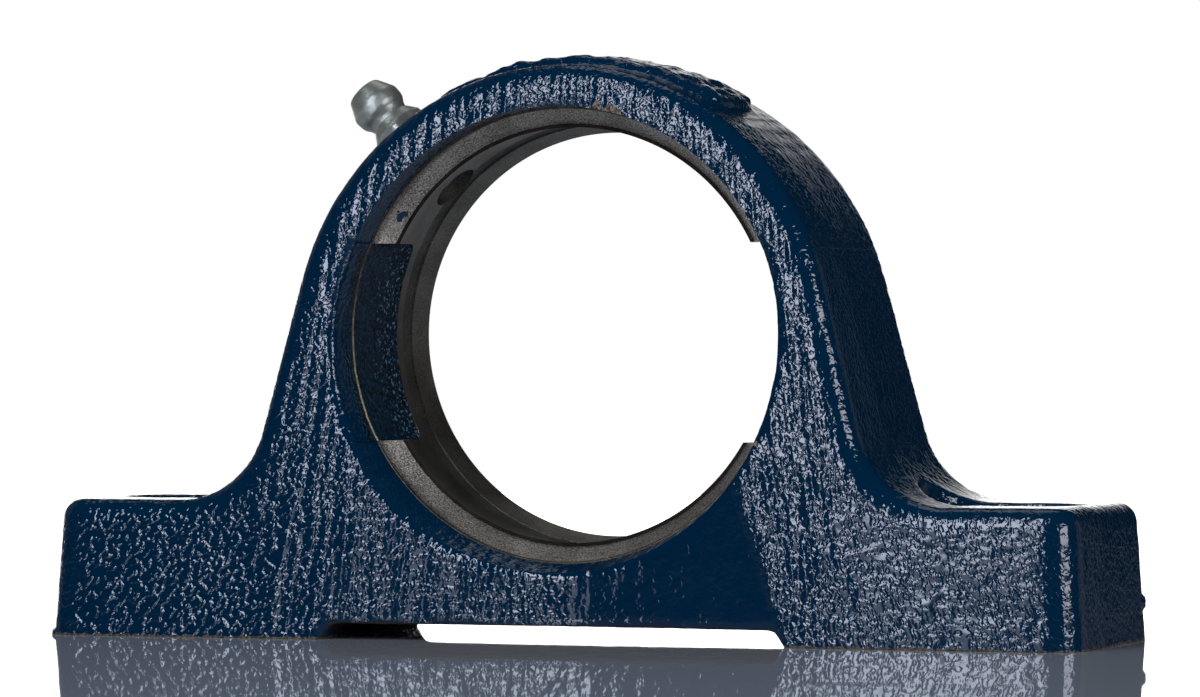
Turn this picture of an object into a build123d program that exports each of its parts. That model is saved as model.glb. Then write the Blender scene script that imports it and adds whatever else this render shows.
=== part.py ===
from build123d import *
import os
from math import cos, radians, sin, sqrt, tan

# Pillow block housing for an insert bearing, with its grease nipple.
#
# Frame: origin at the middle of the base, on the mounting surface. X runs along the base, Y along
# the bore, Z up. The loading slots open towards -Y. All lengths are in millimetres.

# Base
base_length = 130.0
base_depth = 34.0
foot_height = 16.5
draft_angle = 3.2  # every upright face leans in by this much, so that the casting leaves its mould
foot_corner_radius = 3.5
outline_edge_radius = 2.3
bolt_slot_spacing = 102.0
bolt_slot_length = 19.5
bolt_slot_width = 11.5

# Relief under the middle of the base, so that only the two feet touch the surface
relief_half_width = 29.5
relief_height = 1.9
relief_end_slope = 1.5
relief_ceiling_radius = 0.9

# Arch
bore_height = 36.5
crown_radius = 34.0
crown_centre_height = 34.8
leg_lean_angle = 14.5
leg_foot_fillet = 11.0

# Very flat hollow in the web, between the legs, on the front and on the back
web_trough_radius = 270.0
web_trough_depth = 1.63
web_trough_tilt = 1.9  # it grows shallower upwards, because its axis leans less than the face
web_trough_top = 44.0

# Bore, measured from the middle of the spherical seat
seat_radius = 26.0
seat_to_front = 7.45
seat_to_back = 8.3
seat_step = 0.42
turned_edge_radius = 27.14
turned_chamfer_length = 3.23
mouth_flare_angle = 13.0

# Grease groove in the seat, behind the loading slots
groove_start = 2.5
groove_end = 4.85
groove_depth = 0.2

# Loading slots: cast, so they sit a little below the turned bore
slot_height = 23.8
slot_drop = 0.85
slot_past_middle = 1.0
slot_floor_inner_radius = 26.3
slot_floor_flare = 4.1
slot_corner_radius = 1.5

# Blank raised pad on the crown
pad_half_angle = 32.0
pad_width = 14.0
pad_rise = 1.2
pad_root = 2.0  # how far the pad's body reaches down into the crown
pad_corner_radius = 2.5
pad_edge_cut = 0.4

# Grease nipple and its hole, on a radius of the bore
nipple_angle = 135.8
nipple_offset = 1.5  # its hole breaks into the grease groove
nipple_hole_radius = 3.0
spot_face_radius = 4.8
spot_face_height = 32.3

# Nipple body, heights measured from the spot face
nipple_shank_radius = 2.95
nipple_shank_length = 5.0
nipple_shank_chamfer = 0.4
hexagon_width = 7.0
hexagon_turn = 41.0
hexagon_flat_height = 4.0
shoulder_top_height = 5.35
nipple_neck_radius = 2.55
nipple_neck_height = 5.6
nipple_head_radius = 3.28
nipple_head_height = 7.7
nipple_head_bulge = 0.16
nipple_cone_height = 8.15
nipple_tip_radius = 2.2
nipple_tip_height = 10.4

# Valve inside the nipple
inlet_radius = 0.95
inlet_length = 0.9
valve_bore_radius = 1.5
valve_lip_radius = 1.0
valve_lip_length = 0.6
ball_radius = 1.25
ball_clearance = 0.03
spring_coil_radius = 1.15
spring_wire_radius = 0.16
spring_turns = 5
spring_wire_sides = 6  # the round wire is drawn with flats
spring_end_gap = 0.02

# Working lengths, with no meaning on the real piece
far = 80.0  # reach of a cutting body beyond the casting
overshoot = 3.0  # how far a cutting profile runs past a face
tiny = 0.01  # tolerance when edges are picked by their place


def half_outline():
    """Right half of the front outline: foot, leg, and half of the crown."""
    foot_end_x = base_length / 2 - foot_height * tan(radians(draft_angle))
    lean = radians(leg_lean_angle)
    crown_end_x = crown_radius * cos(lean)
    crown_end_z = crown_centre_height + crown_radius * sin(lean)
    leg_foot_x = crown_end_x + (crown_end_z - foot_height) * tan(lean)
    halfway = radians((90 + leg_lean_angle) / 2)
    crown_middle = (crown_radius * cos(halfway), crown_centre_height + crown_radius * sin(halfway))
    crown_top = (0, crown_centre_height + crown_radius)
    edges = Polyline(
        (0, 0),
        (base_length / 2, 0),
        (foot_end_x, foot_height),
        (leg_foot_x, foot_height),
        (crown_end_x, crown_end_z),
    )
    edges += ThreePointArc((crown_end_x, crown_end_z), crown_middle, crown_top)
    edges += Line(crown_top, (0, 0))
    face = make_face(edges)
    hollow_corner = face.vertices().sort_by_distance((leg_foot_x, foot_height))[0]
    return fillet(hollow_corner, leg_foot_fillet)


def draft_wedge():
    """Block whose front and back faces lean in by the draft angle."""
    height = bore_height + far
    lean = height * tan(radians(draft_angle))
    half = base_depth / 2
    side = make_face(Polyline(
        (-half, 0),
        (half, 0),
        (half - lean, height),
        (lean - half, height),
        (-half, 0),
    ))
    return extrude(Plane.YZ * side, base_length / 2 + overshoot, both=True)


def is_foot_corner(edge):
    """True for the four upright corners of the feet."""
    box = edge.bounding_box()
    at_foot_end = abs(edge.center().X) > base_length / 2 - foot_corner_radius
    return at_foot_end and box.size.Z > foot_height - tiny


def is_outline_rim(edge):
    """True for the edges that run round the top of the feet and over the arch."""
    box = edge.bounding_box()
    above_foot = box.min.Z > foot_height - outline_edge_radius
    crosses_rim = edge.length < outline_edge_radius
    runs_through = box.size.Y > base_depth / 2
    at_foot_end = abs(edge.center().X) > base_length / 2 - foot_corner_radius
    return above_foot and not crosses_rim and (at_foot_end or not runs_through)


def soften_outline(block):
    """Round the outline in three facets: cut the corner, then both edges of that cut.

    Each facet is tangent to the true round, and stands at most 0.05 mm proud of it.
    """
    for corner_angle in (90, 45):
        turn = radians(corner_angle)
        cut = outline_edge_radius * (tan(turn / 2) - tan(turn / 4))
        block = chamfer(block.edges().filter_by(is_outline_rim), cut)
    return block


def rounded_block():
    """Solid feet and arch, with rounded corners and edges."""
    half = half_outline()
    outline = half + mirror(half, Plane.YZ)
    block = extrude(Plane.XZ * outline, base_depth, both=True) & draft_wedge()
    block = fillet(block.edges().filter_by(is_foot_corner), foot_corner_radius)
    return soften_outline(block)


def base_relief():
    """Shallow channel across the underside, with sloped ends."""
    inner = relief_half_width - relief_end_slope
    section = make_face(Polyline(
        (-relief_half_width, 0),
        (relief_half_width, 0),
        (inner, relief_height),
        (-inner, relief_height),
        (-relief_half_width, 0),
    ))
    ceiling = section.vertices().group_by(Axis.Y)[-1]
    section = fillet(ceiling, relief_ceiling_radius)
    return extrude(Plane.XZ * section, far, both=True)


def web_trough():
    """Body that hollows the front of the web."""
    axis_y = web_trough_depth - web_trough_radius - base_depth / 2
    trough = Cylinder(web_trough_radius, 2 * far)
    trough = Pos(0, axis_y, 0) * Rot(X=web_trough_tilt - draft_angle) * trough
    reach = Box(2 * relief_half_width + 2 * overshoot, base_depth / 2, web_trough_top + overshoot)
    return trough & Pos(0, -base_depth / 2, (web_trough_top - overshoot) / 2) * reach


def arc_point(radius, y):
    """Point of an arc about the seat's middle: radius from the bore's axis, and place along it."""
    return (sqrt(radius ** 2 - y ** 2), y)


def seat_arc(radius, start_y, end_y):
    """Arc about the seat's middle from one place along the axis to another."""
    halfway = (start_y + end_y) / 2
    return ThreePointArc(arc_point(radius, start_y), arc_point(radius, halfway), arc_point(radius, end_y))


def bore_profile():
    """Half section of the bore: flared cast mouths, turned chamfers, and the grooved seat."""
    floor_radius = seat_radius + groove_depth
    mouth_y = base_depth / 2 + overshoot
    front_chamfer_y = seat_to_front + turned_chamfer_length
    back_chamfer_y = seat_to_back + turned_chamfer_length
    flare = tan(radians(mouth_flare_angle))
    front_seat = arc_point(seat_radius, -seat_to_front)
    back_seat = arc_point(seat_radius, seat_to_back)
    edges = Polyline(
        (0, -mouth_y),
        (turned_edge_radius + (mouth_y - front_chamfer_y) * flare, -mouth_y),
        (turned_edge_radius, -front_chamfer_y),
        (front_seat[0] + seat_step, -seat_to_front),
        front_seat,
    )
    edges += seat_arc(seat_radius, -seat_to_front, groove_start)
    edges += Line(arc_point(seat_radius, groove_start), arc_point(floor_radius, groove_start))
    edges += seat_arc(floor_radius, groove_start, groove_end)
    edges += Line(arc_point(floor_radius, groove_end), arc_point(seat_radius, groove_end))
    edges += seat_arc(seat_radius, groove_end, seat_to_back)
    edges += Polyline(
        back_seat,
        (back_seat[0] + seat_step, seat_to_back),
        (turned_edge_radius, back_chamfer_y),
        (turned_edge_radius + (mouth_y - back_chamfer_y) * flare, mouth_y),
        (0, mouth_y),
        (0, -mouth_y),
    )
    return make_face(edges)


def bore_cut():
    """Turned and cast surfaces of the bore, as one revolved body on the bore's axis."""
    return Pos(0, 0, bore_height) * revolve(bore_profile(), Axis.Y)


def loading_slots():
    """Two slots at 3 and 9 o'clock, from the front face to just past the middle of the seat."""
    front_y = base_depth / 2 + overshoot
    length = front_y + slot_past_middle
    front_radius = slot_floor_inner_radius + length * tan(radians(slot_floor_flare))
    floor = make_face(Polyline(
        (0, -front_y),
        (front_radius, -front_y),
        (slot_floor_inner_radius, slot_past_middle),
        (0, slot_past_middle),
        (0, -front_y),
    ))
    cone = Pos(0, 0, bore_height) * revolve(floor, Axis.Y)
    window = Pos(slot_past_middle - length / 2, bore_height - slot_drop) * Rectangle(length, slot_height)
    inner_corners = window.vertices().group_by(Axis.X)[-1]
    window = fillet(inner_corners, slot_corner_radius)
    return cone & extrude(Plane.YZ * window, far, both=True)


def bolt_slots():
    """Slotted holes in the feet, longer along the base."""
    slot = extrude(SlotOverall(bolt_slot_length, bolt_slot_width), far, both=True)
    return Pos(-bolt_slot_spacing / 2, 0, 0) * slot + Pos(bolt_slot_spacing / 2, 0, 0) * slot


def crown_pad():
    """Blank raised pad along the top of the crown."""
    outer = CenterArc((0, 0), crown_radius + pad_rise, 90 - pad_half_angle, 2 * pad_half_angle)
    inner = CenterArc((0, 0), crown_radius - pad_root, 90 - pad_half_angle, 2 * pad_half_angle)
    section = make_face(outer + inner + Line(outer @ 0, inner @ 0) + Line(outer @ 1, inner @ 1))
    pad = extrude(Plane.XZ * Pos(0, crown_centre_height) * section, pad_width / 2, both=True)
    corners = pad.edges().filter_by(lambda e: abs(e.length - pad_rise - pad_root) < tiny)
    pad = fillet(corners, pad_corner_radius)
    top = pad.faces().sort_by(SortBy.AREA)[-1]
    return chamfer(top.edges(), pad_edge_cut)


def nipple_place():
    """Place whose Z axis runs outwards along the nipple, from the axis of the bore."""
    turn = radians(nipple_angle)
    origin = (0, nipple_offset, bore_height)
    return Plane(origin=origin, x_dir=(0, 1, 0), z_dir=(cos(turn), 0, sin(turn)))


def spot_face_place():
    """The same place, moved out to the spot face that the hexagon seats on."""
    return nipple_place().offset(spot_face_height)


def upright_cylinder(radius, start, end):
    """Cylinder on the Z axis between two heights."""
    return Pos(0, 0, (start + end) / 2) * Cylinder(radius, end - start)


def nipple_hole():
    """Hole through the crown into the seat, with a flat spot face round its mouth."""
    hole = upright_cylinder(nipple_hole_radius, seat_radius - overshoot, crown_radius)
    spot_face = upright_cylinder(spot_face_radius, spot_face_height, crown_radius + overshoot)
    return nipple_place() * (hole + spot_face)


def make_housing():
    """One-piece casting, machined in the bore and drilled for the nipple."""
    trough = web_trough()
    body = rounded_block() - trough - mirror(trough, Plane.XZ) - base_relief()
    body += crown_pad()
    return body - bore_cut() - loading_slots() - bolt_slots() - nipple_hole()


def hexagon():
    """Spanner flats, with a conical shoulder that runs up to the neck."""
    prism = extrude(RegularPolygon(hexagon_width / 2, 6, major_radius=False), shoulder_top_height)
    slope = (hexagon_width / 2 - nipple_neck_radius) / (shoulder_top_height - hexagon_flat_height)
    shoulder_base_radius = nipple_neck_radius + slope * shoulder_top_height
    shoulder = Cone(shoulder_base_radius, nipple_neck_radius, shoulder_top_height)
    return Rot(Z=hexagon_turn) * (prism & Pos(0, 0, shoulder_top_height / 2) * shoulder)


def nipple_turning():
    """Solid of revolution: shank, neck, bulged underside of the head, and its cone."""
    shank_end = -nipple_shank_length
    belly = (
        (nipple_neck_radius + nipple_head_radius) / 2 + nipple_head_bulge,
        (nipple_neck_height + nipple_head_height) / 2 - nipple_head_bulge,
    )
    edges = Polyline(
        (0, shank_end),
        (nipple_shank_radius - nipple_shank_chamfer, shank_end),
        (nipple_shank_radius, shank_end + nipple_shank_chamfer),
        (nipple_shank_radius, 0),
        (nipple_neck_radius, 0),
        (nipple_neck_radius, nipple_neck_height),
        belly,
        (nipple_head_radius, nipple_head_height),
        (nipple_head_radius, nipple_cone_height),
        (nipple_tip_radius, nipple_tip_height),
        (0, nipple_tip_height),
        (0, shank_end),
    )
    return revolve(Plane.XZ * make_face(edges), Axis.Z)


def valve_cavity():
    """Inlet, conical valve seat, spring bore, and the rolled lip that holds the spring in."""
    outside = nipple_tip_height + overshoot
    cone_top = nipple_tip_height - inlet_length
    cone_bottom = cone_top - (valve_bore_radius - inlet_radius)
    lip_top = valve_lip_length - nipple_shank_length
    inside = -nipple_shank_length - overshoot
    profile = make_face(Polyline(
        (0, outside),
        (inlet_radius, outside),
        (inlet_radius, cone_top),
        (valve_bore_radius, cone_bottom),
        (valve_bore_radius, lip_top),
        (valve_lip_radius, lip_top),
        (valve_lip_radius, inside),
        (0, inside),
        (0, outside),
    ))
    return revolve(Plane.XZ * profile, Axis.Z)


def make_nipple_body():
    """Grease nipple, screwed in as far as its hexagon, hollow for the valve."""
    return spot_face_place() * (nipple_turning() + hexagon() - valve_cavity())


def closed_ball_height():
    """Height of the ball's middle when it closes the 45 degree valve seat."""
    cone_apex = nipple_tip_height - inlet_length + inlet_radius
    return cone_apex - (ball_radius + ball_clearance) * sqrt(2)


def make_check_ball():
    """Ball held against the seat behind the inlet."""
    return spot_face_place() * Pos(0, 0, closed_ball_height()) * Sphere(ball_radius)


def make_spring():
    """Open coil between the rolled lip and the ball."""
    lip_top = valve_lip_length - nipple_shank_length
    bottom = lip_top + spring_wire_radius + spring_end_gap
    reach = sqrt((ball_radius + spring_wire_radius) ** 2 - spring_coil_radius ** 2)
    height = closed_ball_height() - reach - spring_end_gap - bottom
    path = Helix(pitch=height / spring_turns, height=height, radius=spring_coil_radius)
    wire = RegularPolygon(spring_wire_radius, spring_wire_sides)
    section = Plane(origin=path @ 0, z_dir=path % 0) * wire
    return spot_face_place() * Pos(0, 0, bottom) * sweep(section, path)


os.makedirs("parts", exist_ok=True)
export_step(make_housing(), "parts/housing.step")
export_step(make_nipple_body(), "parts/nipple_body.step")
export_step(make_check_ball(), "parts/nipple_check_ball.step")
export_step(make_spring(), "parts/nipple_spring.step")
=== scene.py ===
import math

import bpy
from mathutils import Matrix, Vector


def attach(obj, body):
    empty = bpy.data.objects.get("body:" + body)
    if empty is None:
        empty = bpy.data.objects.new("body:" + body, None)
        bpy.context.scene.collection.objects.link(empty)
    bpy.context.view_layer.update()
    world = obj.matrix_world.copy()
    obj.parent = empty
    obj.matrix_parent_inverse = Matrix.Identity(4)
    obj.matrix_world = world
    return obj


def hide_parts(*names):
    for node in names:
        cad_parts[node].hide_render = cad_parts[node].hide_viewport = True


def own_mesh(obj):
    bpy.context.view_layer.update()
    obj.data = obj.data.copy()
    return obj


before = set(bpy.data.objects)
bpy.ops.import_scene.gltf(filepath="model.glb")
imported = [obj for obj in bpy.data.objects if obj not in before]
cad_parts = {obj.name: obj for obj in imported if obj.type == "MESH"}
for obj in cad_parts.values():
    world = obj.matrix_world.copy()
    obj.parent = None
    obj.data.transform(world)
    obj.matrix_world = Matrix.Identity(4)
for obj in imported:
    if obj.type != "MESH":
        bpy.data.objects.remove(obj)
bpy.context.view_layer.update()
mm = 0.001


# Camera: a long lens some 770 mm away, low over the table. It stands a little to the right of the
# bore's axis, so that the inside of the bore shows on the left.
camera_place = (0.2582555, -0.7244546, 0.0401315)
camera_yaw = 0.34155
camera_pitch = -0.006881
camera_roll = 0.000687
camera_lens, sensor_width = 190.73, 36


def deselect_all():
    """Leaves nothing selected, in object mode."""
    bpy.ops.object.select_all(action="DESELECT")


deselect_all()
bpy.ops.object.camera_add(location=camera_place)
camera = bpy.context.object
camera.name = "camera"
camera.rotation_mode = "XYZ"
look = Matrix.Rotation(camera_yaw, 3, "Z") @ Matrix.Rotation(math.pi / 2 + camera_pitch, 3, "X")
camera.rotation_euler = (look @ Matrix.Rotation(-camera_roll, 3, "Z")).to_euler()
camera.data.lens = camera_lens
camera.data.sensor_width = sensor_width
camera.data.clip_end = 20
bpy.context.scene.camera = camera


# Table: a sheet of pale gloss acrylic, which mirrors the casting at the camera's low angle. A tall
# softbox stands in front and a strip light on the right, with white paper low behind, and the room
# round them is dark but for three soft patches of light.

def linear(code):
    """sRGB hex code to a linear colour."""
    parts = [int(code[i:i + 2], 16) / 255 for i in (1, 3, 5)]
    return [p / 12.92 if p <= 0.04045 else ((p + 0.055) / 1.055) ** 2.4 for p in parts] + [1]


def add_node(tree, kind, settings=None, sockets=None, links=None):
    """Adds a node: its settings, its sockets' own values, and links from other nodes' outputs."""
    node = tree.nodes.new(kind)
    for key, value in (settings or {}).items():
        setattr(node, key, value)
    for key, value in (sockets or {}).items():
        node.inputs[key].default_value = value
    for key, source in (links or {}).items():
        tree.links.new(source, node.inputs[key])
    return node


def new_material(name):
    """Material with an empty node tree."""
    material = bpy.data.materials.new(name)
    material.use_nodes = True
    material.node_tree.nodes.clear()
    return material, material.node_tree


def finish_material(tree, shader):
    """Links a shader to the material's output."""
    add_node(tree, "ShaderNodeOutputMaterial", links={"Surface": shader.outputs[0]})


floor_drop = 0.02 * mm
floor_front, floor_back, floor_half_width = -1.6, 0.55, 1.2
# cast and polished acrylic: pale, with a sharp and faint mirror image of what stands on it
acrylic, tree = new_material("white_acrylic")
finish_material(tree, add_node(tree, "ShaderNodeBsdfPrincipled", sockets={
    "Base Color": linear("#9DA2AA"), "Roughness": 0.02, "IOR": 1.5}))
deselect_all()
bpy.ops.mesh.primitive_plane_add(size=1, location=(0, (floor_front + floor_back) / 2, -floor_drop))
floor = bpy.context.object
floor.name = "table"
floor.scale = (2 * floor_half_width, floor_back - floor_front, 1)
bpy.ops.object.transform_apply(location=True, rotation=False, scale=True)
floor.data.materials.append(acrylic)

# what a mirror sees: nearly dark all round, but for the backdrop straight behind the casting, the
# ceiling above that, and a dim wall on the left. Each patch of light is its azimuth from +Y towards
# +X, its elevation, how far from its middle it ends, how far out it is full, all in degrees, and
# its glow
room_glow, daylight = 0.004, 0.34
backdrop = (-19.6, 3, 20, 6, 1.0)
ceiling = (-19, 61, 19, 6, 0.8)
wall = (-62, 15, 38, 10, 0.11)
world = bpy.data.worlds.new("studio")
bpy.context.scene.world = world
world.use_nodes = True
tree = world.node_tree
tree.nodes.clear()
path = add_node(tree, "ShaderNodeLightPath")
direction = add_node(tree, "ShaderNodeTexCoord")
glow = add_node(tree, "ShaderNodeValue")
glow.outputs[0].default_value = room_glow
for azimuth, elevation, edge, full, level in (backdrop, ceiling, wall):
    turn, tilt = math.radians(azimuth), math.radians(elevation)
    toward = add_node(tree, "ShaderNodeVectorMath", {"operation": "DOT_PRODUCT"}, {
        1: (math.sin(turn) * math.cos(tilt), math.cos(turn) * math.cos(tilt), math.sin(tilt))}, {
        0: direction.outputs["Generated"]})
    patch = add_node(tree, "ShaderNodeMapRange", {"interpolation_type": "SMOOTHSTEP"}, {
        "From Min": math.cos(math.radians(edge)), "From Max": math.cos(math.radians(full)),
        "To Max": level}, {"Value": toward.outputs["Value"]})
    glow = add_node(tree, "ShaderNodeMath", {"operation": "ADD"}, links={
        0: glow.outputs[0], 1: patch.outputs[0]})
room = add_node(tree, "ShaderNodeBackground", sockets={"Color": (1, 1, 1, 1)},
                links={"Strength": glow.outputs[0]})
fill = add_node(tree, "ShaderNodeBackground", sockets={"Color": (1, 1, 1, 1), "Strength": daylight})
white = add_node(tree, "ShaderNodeBackground", sockets={"Color": (1, 1, 1, 1), "Strength": 1.0})
around = add_node(tree, "ShaderNodeMixShader", links={
    0: path.outputs["Is Diffuse Ray"], 1: room.outputs[0], 2: fill.outputs[0]})
seen = add_node(tree, "ShaderNodeMixShader", links={
    0: path.outputs["Is Camera Ray"], 1: around.outputs[0], 2: white.outputs[0]})
add_node(tree, "ShaderNodeOutputWorld", links={"Surface": seen.outputs[0]})


def panel_light(name, middle, aim, width, height, radiance, colour):
    """Rectangular light, upright across its aim, with the brightness that a mirror would show."""
    away = (Vector(middle) - Vector(aim)).normalized()
    deselect_all()
    bpy.ops.object.light_add(type="AREA", location=middle)
    lamp = bpy.context.object
    lamp.name = name
    lamp.rotation_euler = away.to_track_quat("Z", "Y").to_euler()
    lamp.data.shape = "RECTANGLE"
    lamp.data.size = width
    lamp.data.size_y = height
    lamp.data.energy = radiance * math.pi * width * height
    lamp.data.color = linear(colour)[:3]
    lamp.visible_camera = False
    return lamp


def upright_light(name, azimuth, distance, low, high, width, radiance, colour):
    """Upright panel round the object, between two heights. Its azimuth runs from -Y towards +X."""
    turn = math.radians(azimuth)
    middle = (low + high) / 2
    place = (distance * math.sin(turn), -distance * math.cos(turn), middle)
    return panel_light(name, place, (0, 0, middle), width, high - low, radiance, colour)


# the softbox is brightest along its middle, and dims and narrows towards its lower edge. Each band
# is its two heights in metres, its share of the full light and its share of the full width
softbox_azimuth, softbox_distance, softbox_colour = -15.9, 1.2, "#E4ECFF"
softbox_bands = (
    (0.002, 0.099, 0.16, 0.75), (0.099, 0.111, 0.30, 0.85), (0.111, 0.123, 0.54, 0.9),
    (0.123, 0.135, 0.75, 0.95), (0.135, 1.74, 1.0, 1.0))
softbox_layers = ((0.195, 4.5), (0.160, 9.0))  # full width in metres, and radiance
for low, high, light_share, width_share in softbox_bands:
    for full_width, radiance in softbox_layers:
        upright_light("softbox", softbox_azimuth, softbox_distance + full_width / 10, low, high,
                      full_width * width_share, light_share * radiance, softbox_colour)
upright_light("side_strip", azimuth=66, distance=1.0, low=0.10, high=0.42, width=0.55,
              radiance=8.0, colour="#F2F4FF")
panel_light("white_paper", middle=(-0.40, 0.55, 0.01), aim=(-0.40, 0, 0.01), width=0.80, height=0.14,
            radiance=1.35, colour="#FFFFFF")
panel_light("side_card", middle=(0.50, 0.62, 0.10), aim=(0, 0, 0.03), width=0.40, height=0.40,
            radiance=0.11, colour="#FFFFFF")
# the fill lights colours only, and no mirror shows it
fill_lamp = panel_light("fill", middle=(-0.39, -0.67, 0.95), aim=(0, 0, 0.03), width=0.8, height=0.8,
                        radiance=1.5, colour="#FFFFFF")
fill_lamp.visible_glossy = False


# Turned bore of the housing: the inner skin that the lathe leaves. A lead-in cone opens to the
# spherical seat, which has one shallow grease groove. It is bare grey iron, cut after painting.

touching = 0.001 * mm  # points that are closer than this are one point


def make_active(piece):
    """Selects one piece alone."""
    deselect_all()
    piece.select_set(True)
    bpy.context.view_layer.objects.active = piece


def start_editing():
    """Opens the active object's mesh with everything in it selected."""
    bpy.ops.object.mode_set(mode="EDIT")
    bpy.ops.mesh.select_mode(type="VERT")
    bpy.ops.mesh.select_all(action="SELECT")


def stop_editing():
    """Closes the active object's mesh."""
    bpy.ops.object.mode_set(mode="OBJECT")


def select_in_mesh(piece, kind, test):
    """Selects the vertices, edges or faces of the active piece that pass a test, for edit mode."""
    bpy.ops.object.mode_set(mode="EDIT")
    bpy.ops.mesh.select_mode(type=kind)
    bpy.ops.mesh.select_all(action="DESELECT")
    bpy.ops.object.mode_set(mode="OBJECT")
    mesh = piece.data
    for element in {"VERT": mesh.vertices, "EDGE": mesh.edges, "FACE": mesh.polygons}[kind]:
        element.select = test(mesh, element)
    bpy.ops.object.mode_set(mode="EDIT")


def apply_modifier(piece, name, kind, settings):
    """Adds a modifier to a piece and applies it."""
    make_active(piece)
    modifier = piece.modifiers.new(name, kind)
    for key, value in settings.items():
        setattr(modifier, key, value)
    bpy.ops.object.modifier_apply(modifier=name)


def combine(piece, other, operation):
    """Boolean of two solid meshes, kept in the first: DIFFERENCE, INTERSECT or UNION."""
    apply_modifier(piece, "combine", "BOOLEAN", {
        "operation": operation, "solver": "EXACT", "object": other})


def trim(piece, point, direction):
    """Cuts a solid mesh with a plane, drops what lies behind the plane, and closes the cut."""
    make_active(piece)
    start_editing()
    bpy.ops.mesh.bisect(
        plane_co=point, plane_no=direction, clear_inner=True, use_fill=True, threshold=touching)
    bpy.ops.mesh.select_all(action="SELECT")
    bpy.ops.mesh.normals_make_consistent(inside=False)
    stop_editing()


def draw_profile(name, points):
    """Chain of edges through points, extruded one after another from a single vertex."""
    deselect_all()
    bpy.ops.mesh.primitive_plane_add(size=mm)
    piece = bpy.context.object
    piece.name = name
    start_editing()
    bpy.ops.mesh.merge(type="CENTER")
    bpy.ops.transform.translate(value=points[0])
    for last, point in zip(points, points[1:]):
        step = [b - a for a, b in zip(last, point)]
        bpy.ops.mesh.extrude_region_move(TRANSFORM_OT_translate={"value": step})
    stop_editing()
    return piece


def spin_round(piece, centre, axis, steps):
    """Turns a profile into a closed solid of revolution."""
    make_active(piece)
    start_editing()
    bpy.ops.mesh.spin(steps=steps, angle=2 * math.pi, center=centre, axis=axis)
    bpy.ops.mesh.select_all(action="SELECT")
    bpy.ops.mesh.remove_doubles(threshold=touching)
    bpy.ops.mesh.normals_make_consistent(inside=False)
    stop_editing()


bore_centre = Vector((0, 0, 36.5 * mm))
seat_radius = 26.0
seat_front, seat_back = -7.45, 8.3
groove_front, groove_back, groove_depth = 2.5, 4.85, 0.2
seat_step = 0.42
edge_radius = 27.14
front_edge_y, back_edge_y = -10.68, 11.53
skin_radius = 28.2  # how far the skin reaches into the casting
bore_sides = 288


def seat_points(radius, start, end, count):
    """Points of the spherical seat, as distances from the bore's axis and along it."""
    places = [start + (end - start) * i / count for i in range(count + 1)]
    return [(math.sqrt(radius ** 2 - y ** 2), y) for y in places]


front_seat_radius = math.sqrt(seat_radius ** 2 - seat_front ** 2)
back_seat_radius = math.sqrt(seat_radius ** 2 - seat_back ** 2)
seat_profile = [
    (skin_radius, front_edge_y), (edge_radius, front_edge_y), (front_seat_radius + seat_step, seat_front)]
seat_profile += seat_points(seat_radius, seat_front, groove_front, 8)
seat_profile += seat_points(seat_radius + groove_depth, groove_front, groove_back, 2)
seat_profile += seat_points(seat_radius, groove_back, seat_back, 3)
seat_profile += [
    (back_seat_radius + seat_step, seat_back), (edge_radius, back_edge_y),
    (skin_radius, back_edge_y), (skin_radius, front_edge_y)]
turned_bore = draw_profile("turned_bore", [(r * mm, y * mm, bore_centre.z) for r, y in seat_profile])
spin_round(turned_bore, bore_centre, (0, 1, 0), bore_sides)

# the loading slots cut through it from the front, a little past the middle of the seat
slot_low, slot_high = 23.75, 47.55
slot_end, slot_reach, slot_span = 1.0, 26.0, 80
slot_corner_radius = 1.5
deselect_all()
bpy.ops.mesh.primitive_cube_add(
    size=1, location=(0, (slot_end - slot_reach / 2) * mm, (slot_low + slot_high) / 2 * mm),
    scale=(slot_span * mm, slot_reach * mm, (slot_high - slot_low) * mm))
slot_window = bpy.context.object
slot_window.name = "slot_window"
bpy.ops.object.transform_apply(location=True, rotation=False, scale=True)


def is_inner_corner(mesh, edge):
    """True for the two long edges at the closed end of the slot window."""
    ends = [mesh.vertices[i].co for i in edge.vertices]
    at_slot_end = all(end.y > (slot_end - 0.1) * mm for end in ends)
    return at_slot_end and abs(ends[0].z - ends[1].z) < 0.1 * mm


select_in_mesh(slot_window, "EDGE", is_inner_corner)
bpy.ops.mesh.bevel(offset=slot_corner_radius * mm, segments=6)
stop_editing()
combine(turned_bore, slot_window, "DIFFERENCE")

# the grease hole comes through it at the groove, on the nipple's axis
nipple_turn = math.radians(135.8)
nipple_axis = Vector((math.cos(nipple_turn), 0, math.sin(nipple_turn)))
nipple_root = bore_centre + Vector((0, 1.5 * mm, 0))
nipple_hole_radius = 3.0
hole_middle, hole_length = 27, 8
deselect_all()
bpy.ops.mesh.primitive_cylinder_add(
    vertices=48, radius=nipple_hole_radius * mm, depth=hole_length * mm,
    location=nipple_root + nipple_axis * hole_middle * mm,
    rotation=nipple_axis.to_track_quat("Z", "Y").to_euler())
grease_hole = bpy.context.object
grease_hole.name = "grease_hole"
bpy.ops.object.transform_apply(location=True, rotation=True, scale=True)
combine(turned_bore, grease_hole, "DIFFERENCE")
make_active(turned_bore)
bpy.ops.object.shade_smooth_by_angle(angle=math.radians(20))

# grey iron off the lathe: a bright grainy cone, a thin dark step, a smoother seat and a dull back band. The
# step's darkness is painted shade, and a thin pale band at the front edge is partly painted highlight
iron, tree = new_material("turned_grey_iron")
place = add_node(tree, "ShaderNodeTexCoord")
parts = add_node(tree, "ShaderNodeSeparateXYZ", links={"Vector": place.outputs["Object"]})
zone_reach = 12
along = add_node(tree, "ShaderNodeMapRange", sockets={
    "From Min": -zone_reach * mm, "From Max": zone_reach * mm}, links={"Value": parts.outputs["Y"]})
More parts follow.
